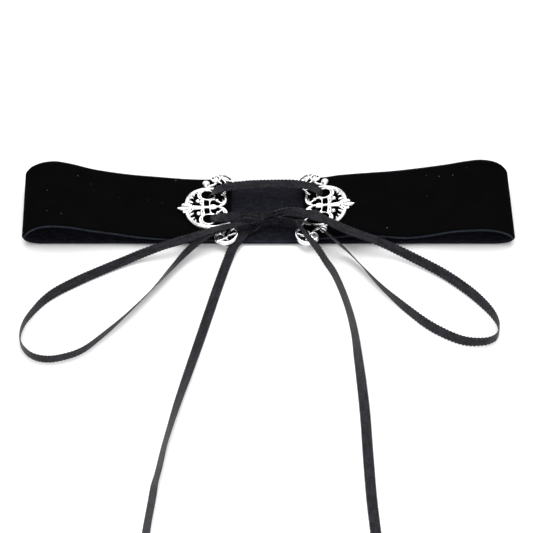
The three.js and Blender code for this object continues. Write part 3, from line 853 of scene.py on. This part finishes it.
def edge_section(edge):
    """Up one edge of the band, from its inner face to the pile: share across and height from the middle."""
    inner = -BAND_THICKNESS / 2
    ledge = inner + BACKING_THICKNESS
    top = BAND_THICKNESS / 2
    foot = 1 - SELVEDGE_WIDTH[edge] / (BAND_WIDTH / 2)
    return [
        (1, inner + EDGE_CHAMFER),
        (1, ledge - EDGE_CHAMFER),
        (1 - CORNER_INSET, ledge),
        (foot + PILE_FOOT_INSET, ledge),
        (foot, ledge + PILE_FOOT_HEIGHT),
        (foot - PILE_SHOULDER_INSET, top - PILE_SHOULDER_DROP),
    ]


def band_section():
    """The section across the band: share across, height from the middle, and the next face's slot."""
    inner = -BAND_THICKNESS / 2
    top = BAND_THICKNESS / 2
    stripe_start, stripe_end = [1 - distance / (BAND_WIDTH / 2) for distance in SELVEDGE_STRIPE]
    inner_face = [(-1, inner, BACK_SLOT), (-stripe_start, inner, SELVEDGE_SLOT)]
    inner_face += [(share, inner, BACK_SLOT) for share in np.linspace(-stripe_end, stripe_end, INNER_COLUMNS)]
    inner_face[-1] = (stripe_end, inner, SELVEDGE_SLOT)
    inner_face += [(stripe_start, inner, BACK_SLOT)]
    far_slots = [BACK_SLOT, SELVEDGE_SLOT, SELVEDGE_SLOT, PILE_SLOT, PILE_SLOT, PILE_SLOT]
    far_edge = [(share, lift, slot) for (share, lift), slot in zip(edge_section("far"), far_slots)]
    near_slots = [PILE_SLOT, PILE_SLOT, SELVEDGE_SLOT, SELVEDGE_SLOT, SELVEDGE_SLOT, BACK_SLOT]
    near_points = reversed(edge_section("near"))
    near_edge = [(-share, lift, slot) for (share, lift), slot in zip(near_points, near_slots)]
    far_pile, near_pile = [
        1 - SELVEDGE_WIDTH[edge] / (BAND_WIDTH / 2) - PILE_TOP_INSET for edge in ("far", "near")
    ]
    pile = [(share, top, PILE_SLOT) for share in np.linspace(far_pile, -near_pile, PILE_COLUMNS)]
    return inner_face + far_edge + pile + near_edge


def far_edge_lift(line):
    """How much the front layer's far edge curls up, clear of the ornaments and the folds."""
    reach = np.abs(line[:, 0]) / HALF_LENGTH
    front = smooth_between(line[:, 2] / FOLD_HEIGHT, *CURL_SETS_IN)
    grown = CURL_BY_ORNAMENTS + (1 - CURL_BY_ORNAMENTS) * smooth_between(reach, *CURL_GROWS)
    return EDGE_CURL * front * grown * (1 - smooth_between(reach, *CURL_FADES))


def velvet_band():
    shares, lift, slots = zip(*band_section())
    shares = np.array(shares)
    lift = np.array(lift)
    counts = {side: span_counts(half_band(side, -1.0)) for side in ("left", "right")}
    near = band_line(-1.0, counts)
    far = band_line(1.0, counts)
    far = far + [0, 0, 1] * far_edge_lift(far)[:, None]
    mix = ((shares + 1) / 2)[:, None, None]
    middle = near[None] * (1 - mix) + far[None] * mix
    along = np.gradient(middle, axis=1)
    along /= np.linalg.norm(along, axis=2, keepdims=True)
    normal = np.stack([along[..., 2], np.zeros_like(along[..., 0]), -along[..., 0]], axis=2)
    points = middle + lift[:, None, None] * normal
    points[..., 1] = (shares * BAND_WIDTH / 2)[:, None]
    rings = points.transpose(1, 0, 2)
    stations, around = rings.shape[:2]
    distance = lengths(near)
    section = np.stack([shares * BAND_WIDTH / 2, lift], axis=1)
    made = new_mesh(
        "choker_band",
        rings.reshape(-1, 3),
        sweep_faces(stations, around),
        BAND_MATERIALS,
        uvs=sweep_uvs(distance, lengths(section)),
        face_slots=list(slots) * (stations - 1) + [BACK_SLOT, BACK_SLOT],
    )
    dress(made, "velvet_band")


# Ornaments


def stroke_shape(rows, height):
    """Points and faces of one cast stroke, rounded off at its two ends."""
    rows = smooth_rows(np.array(rows) * PERCENT, STROKE_STEP)
    points = rows[:, :2]
    half = np.maximum(rows[:, 2], STROKE_LEAST_HALF_WIDTH)
    distance = lengths(points)
    to_end = np.minimum(distance, distance[-1] - distance)
    ends = np.clip(to_end / half, 0, 1)
    rounding = np.sqrt(np.clip(1 - (1 - ends) ** 2, STROKE_LEAST_ROUNDING, 1))
    rise = height * METAL_THICKNESS * (STROKE_END_HEIGHT + (1 - STROKE_END_HEIGHT) * rounding)
    along = tangents(points)
    across = np.stack([-along[:, 1], along[:, 0]], axis=1)
    rings = np.zeros((len(points), len(STROKE_PROFILE), 3))
    for j, (share, level) in enumerate(STROKE_PROFILE):
        rings[:, j, :2] = points + across * (share * half * rounding)[:, None]
        rings[:, j, 2] = level * rise
    return rings.reshape(-1, 3), sweep_faces(len(points), len(STROKE_PROFILE))


def ring_shape(centre, hole, wall):
    """Points and faces of a round ring."""
    angle = np.arange(RING_STEPS) * 2 * math.pi / RING_STEPS
    rings = np.zeros((RING_STEPS, len(STROKE_PROFILE), 3))
    for j, (share, level) in enumerate(STROKE_PROFILE):
        radius = hole + wall * (1 + share) / 2
        rings[:, j, 0] = centre[0] + radius * np.cos(angle)
        rings[:, j, 1] = centre[1] + radius * np.sin(angle)
        rings[:, j, 2] = level * METAL_THICKNESS
    return rings.reshape(-1, 3), sweep_faces(RING_STEPS, len(STROKE_PROFILE), closed=True)


def boss_shape(u, v, radius, share):
    """Points and faces of a round boss."""
    size = radius * PERCENT
    height = share * METAL_THICKNESS
    angle = np.arange(BOSS_STEPS) * 2 * math.pi / BOSS_STEPS
    rings = np.zeros((len(BOSS_LEVELS), BOSS_STEPS, 3))
    for i, (reach, level) in enumerate(BOSS_LEVELS):
        rings[i, :, 0] = u * PERCENT + reach * size * np.cos(angle)
        rings[i, :, 1] = v * PERCENT + reach * size * np.sin(angle)
        rings[i, :, 2] = level * height
    return rings.reshape(-1, 3), sweep_faces(len(BOSS_LEVELS), BOSS_STEPS)


def half_ornament_shapes():
    """The strokes, bosses and eyelet ring on one side of an ornament's axis."""
    eyelet_centre = (EYELET_RING["u"] * PERCENT, EYELET_SPACING / 2)
    return [
        *(stroke_shape(rows, height) for rows, height in HALF_STROKES),
        *(boss_shape(*boss) for boss in ORNAMENT_BOSSES),
        ring_shape(eyelet_centre, EYELET_HOLE_RADIUS, EYELET_RING["wall"] * PERCENT),
    ]


def ornament_parts():
    """The strokes, bosses and rings of a whole casting as one mesh, still passing through each other."""
    shapes = half_ornament_shapes()
    shapes += [(points * (1, -1, 1), [tuple(reversed(face)) for face in faces]) for points, faces in shapes]
    shapes += [stroke_shape(rows, height) for rows, height in AXIS_STROKES]
    faces = []
    offset = 0
    for shape_points, shape_faces in shapes:
        faces += [tuple(index + offset for index in face) for face in shape_faces]
        offset += len(shape_points)
    mesh = bpy.data.meshes.new("ornament_parts")
    mesh.from_pydata(np.vstack([points for points, _ in shapes]).tolist(), [], faces)
    return mesh


def flat_ornament():
    """The whole casting, flat, as one fused skin in millimetres, with its relief at each point."""
    thing = bpy.data.objects.new("ornament_parts", ornament_parts())
    bpy.context.scene.collection.objects.link(thing)
    fuse = thing.modifiers.new("fuse", "REMESH")
    fuse.mode = "VOXEL"
    fuse.voxel_size = REMESH_VOXEL
    soften = thing.modifiers.new("soften", "SMOOTH")
    soften.factor = 0.5
    soften.iterations = 1
    fused = bpy.data.meshes.new_from_object(thing.evaluated_get(bpy.context.evaluated_depsgraph_get()))
    bpy.data.objects.remove(thing)
    skin = mesh_points(fused)
    skin_faces = [tuple(face.vertices) for face in fused.polygons]
    relief = relief_of(fused, skin)
    bpy.data.meshes.remove(fused)
    return skin, skin_faces, relief


def mesh_points(mesh):
    points = np.zeros(len(mesh.vertices) * 3, np.float32)
    mesh.vertices.foreach_get("co", points)
    return points.reshape(-1, 3).astype(float)


def relief_of(mesh, points):
    """How far each point stands out of the smoothed skin: below 0 in the valleys between strokes."""
    edges = np.zeros(len(mesh.edges) * 2, np.int32)
    mesh.edges.foreach_get("vertices", edges)
    first, second = edges.reshape(-1, 2).T
    normals = np.zeros(len(points) * 3, np.float32)
    mesh.vertices.foreach_get("normal", normals)
    count = len(points)
    neighbours = np.maximum(np.bincount(edges, minlength=count), 1)
    smooth = points
    for _ in range(RELIEF_ROUNDS):
        total = [
            np.bincount(first, values[second], count) + np.bincount(second, values[first], count)
            for values in smooth.T
        ]
        smooth = np.stack(total, axis=1) / neighbours[:, None]
    return np.sum((points - smooth) * normals.reshape(-1, 3), axis=1)


def velvet_top(side, distance, across):
    """Height of the front layer's pile at a distance from the middle and a share across."""
    rows = half_band(side, across)
    line = even_rows(rows, span_counts(rows))
    reach = np.abs(line[:, 0])
    nose = int(np.argmax(reach))
    return float(np.interp(distance, reach[: nose + 1], line[: nose + 1, 2])) + BAND_THICKNESS / 2


def velvet_middle(side, distance):
    return (velvet_top(side, distance, -1) + velvet_top(side, distance, 1)) / 2


def rotation(axis, angle):
    """The matrix of a turn about one axis: 0 is X, 1 is Y and 2 is Z."""
    first = (axis + 1) % 3
    second = (axis + 2) % 3
    turn = np.eye(3)
    turn[first, first] = math.cos(angle)
    turn[second, second] = math.cos(angle)
    turn[second, first] = math.sin(angle)
    turn[first, second] = -math.sin(angle)
    return turn


def ornament_matrix(name):
    """Turn and place of an ornament on the front layer's slope."""
    place = ORNAMENT_PLACES[name]
    side = place["side"]
    distance = place["distance"]
    inner = max(distance - SLOPE_REACH, LACE_GAP / 2 + BAND_THICKNESS)
    outer = distance + SLOPE_REACH
    slope = (velvet_middle(name, outer) - velvet_middle(name, inner)) / (outer - inner)
    cross = (velvet_top(name, distance, 1) - velvet_top(name, distance, -1)) / BAND_WIDTH
    tilt = rotation(0, math.atan(cross)) @ rotation(1, -side * math.atan(slope))
    turn = tilt @ rotation(2, math.radians(place["turn"]))
    height = velvet_middle(name, distance) + ORNAMENT_CLEARANCE
    return turn, np.array([side * distance, -ORNAMENT_INSET, height])


def ornament(name, casting):
    """A copy of the flat casting, mirrored, its near half bent down, and set on its end of the velvet."""
    side = ORNAMENT_PLACES[name]["side"]
    points, faces, relief = casting
    radius = ORNAMENT_BEND_RADIUS + points[:, 2]
    angle = np.minimum(points[:, 1], 0) / ORNAMENT_BEND_RADIUS
    across = np.maximum(points[:, 1], 0) + radius * np.sin(angle)
    rise = radius * np.cos(angle) - ORNAMENT_BEND_RADIUS
    bent = np.stack([side * points[:, 0], across, rise], axis=1)
    turn, origin = ornament_matrix(name)
    if side < 0:
        faces = [tuple(reversed(face)) for face in faces]
    made = new_mesh(f"filigree_{name}", bent @ turn.T + origin, faces, [SILVER])
    # The relief attribute sets where the silver gets its painted shade.
    layer = made.data.attributes.new("relief", "FLOAT", "POINT")
    layer.data.foreach_set("value", np.clip(0.5 + relief / RELIEF_SPAN, 0, 1))
    dress(made, f"ornament_{name}")


# Stage


def table():
    reach = TABLE_REACH
    corners = [(-reach, -reach, 0), (reach, -reach, 0), (reach, reach, 0), (-reach, reach, 0)]
    material, tree, shader = shader_nodes("table_white", Base_Color=TABLE_COLOR, Roughness=0.7)
    add_bump(tree, shader, noise(tree, coordinates(tree, "Object"), TABLE_GRAIN_SCALE), 0.02, 0.0005)
    new_mesh("table", corners, [(0, 1, 2, 3)], [material])


def soft_light(name, place, tilt, size, power):
    lamp = bpy.data.lights.new(name, "AREA")
    lamp.shape = "SQUARE"
    lamp.size = size
    lamp.energy = power
    thing = bpy.data.objects.new(name, lamp)
    thing.location = place
    thing.rotation_euler = (math.radians(tilt), 0, 0)
    bpy.context.scene.collection.objects.link(thing)


def studio():
    world = bpy.data.worlds.new("studio")
    world.use_nodes = True
    background = world.node_tree.nodes["Background"]
    background.inputs["Color"].default_value = (1, 1, 1, 1)
    background.inputs["Strength"].default_value = WORLD_STRENGTH
    bpy.context.scene.world = world
    for name, lamp in LAMPS.items():
        soft_light(name, **lamp)
    bpy.context.scene.view_settings.view_transform = "Standard"


set_camera()
table()
studio()
free_ribbon("bow_left", LOOP_LEFT_ROUTE, "bow_loop_left", "object")
free_ribbon("bow_right", LOOP_RIGHT_ROUTE, "bow_loop_right", "object")
free_ribbon("end_left", TAIL_LEFT_ROUTE, "tail_left", "bare")
free_ribbon("end_right", TAIL_RIGHT_ROUTE, "tail_right", "bare")
held_ribbon()
knot()
velvet_band()
filigree = flat_ornament()
ornament("left", filigree)
ornament("right", filigree)
